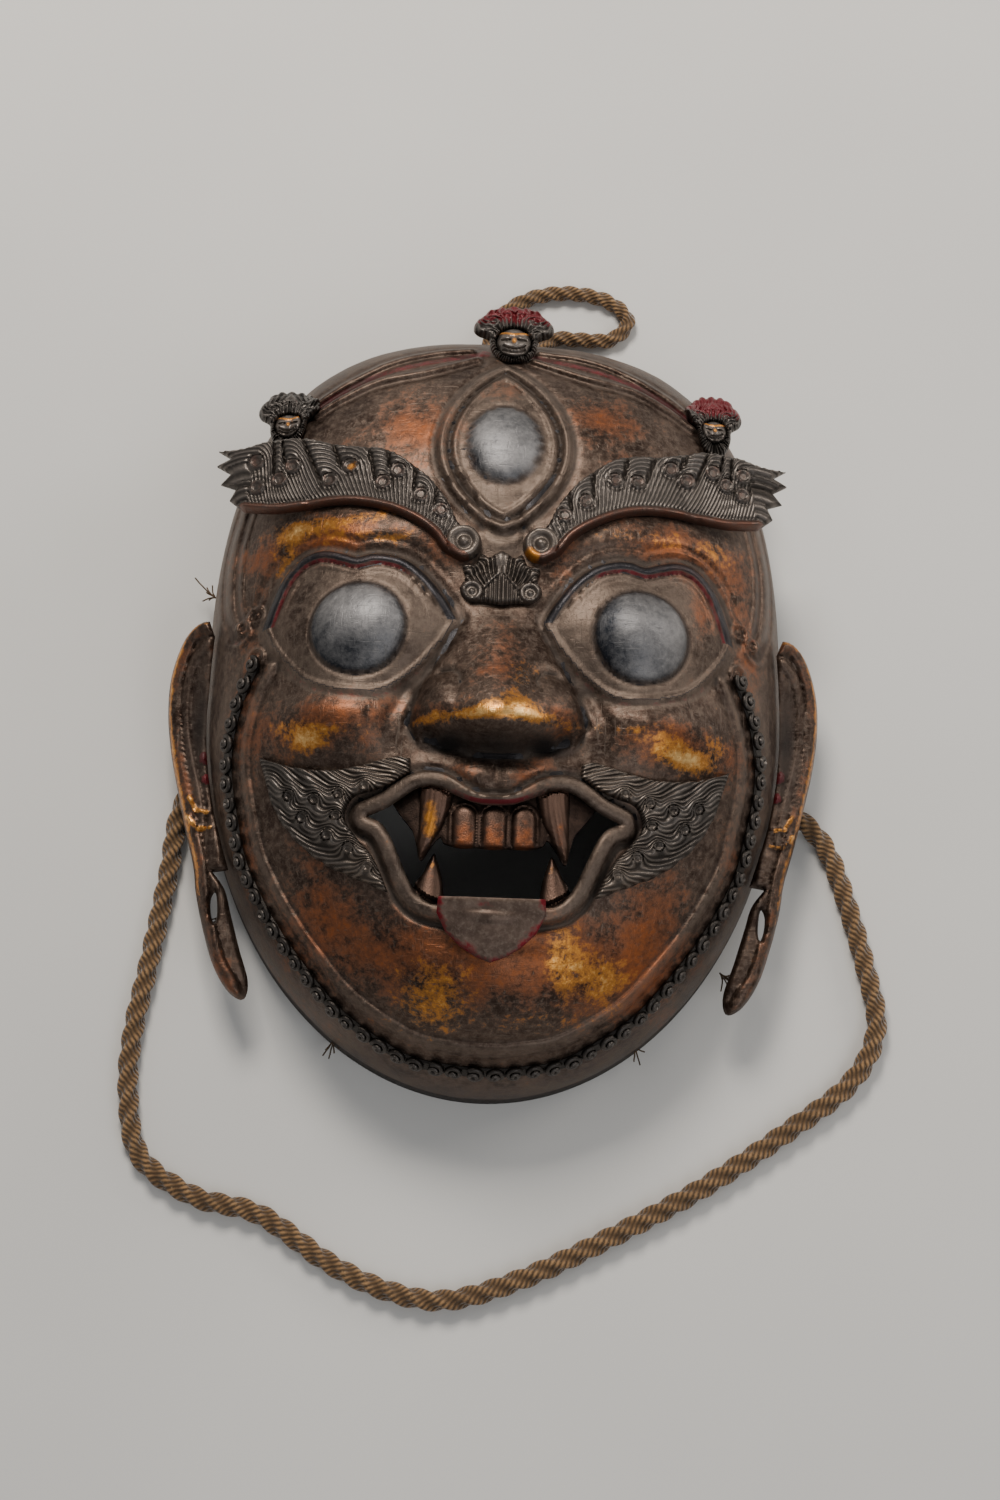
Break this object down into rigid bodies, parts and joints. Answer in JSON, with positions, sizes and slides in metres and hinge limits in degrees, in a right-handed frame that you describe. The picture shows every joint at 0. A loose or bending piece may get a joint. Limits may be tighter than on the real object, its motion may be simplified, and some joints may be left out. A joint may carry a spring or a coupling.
{
  "type": "ritual mask",
  "caption": "Hollow three-eyed, fanged ritual mask of raised sheet copper with riveted brows, moustaches, beard curls, ears and skull finials, and a carrying rope.",
  "frame": {"origin": "centre of the mask's outline, ropes apart, on the plane of the rim it lies on", "axes": "+X to the mask's left as seen from in front (viewer's right), +Y towards the crown, +Z the way the face looks"},
  "size_m": [0.3886, 0.5482, 0.1506],
  "materials": {
    "raised_copper": "raised sheet copper, once gilt, worn to brown patina with rubbed gold highlights",
    "blackened_trim": "chased copper trim blackened with age and old lacquer",
    "copper_teeth": "chased copper gums, teeth and fangs, dull brown and rubbed on the tips",
    "tongue_plate": "flat sheet metal, grey-brown with traces of red lacquer at the edges",
    "hemp_rope": "old laid hemp rope, tan brown and slightly fuzzy"
  },
  "bodies": {
    "root": {"face_shell": "raised_copper", "ear_left": "raised_copper", "ear_right": "raised_copper", "brow_left": "blackened_trim", "brow_right": "blackened_trim", "moustache_left": "blackened_trim", "moustache_right": "blackened_trim", "nose_crest": "blackened_trim", "beard_curl_band": "blackened_trim", "skull_top": "blackened_trim", "skull_left": "blackened_trim", "skull_right": "blackened_trim", "upper_teeth": "copper_teeth", "lower_fang_left": "copper_teeth", "lower_fang_right": "copper_teeth", "tongue": "tongue_plate", "carry_rope": "hemp_rope", "hanging_loop": "hemp_rope", "rope_knot_left": "hemp_rope", "rope_knot_right": "hemp_rope", "loop_knot": "hemp_rope"}
  },
  "joints": []
}
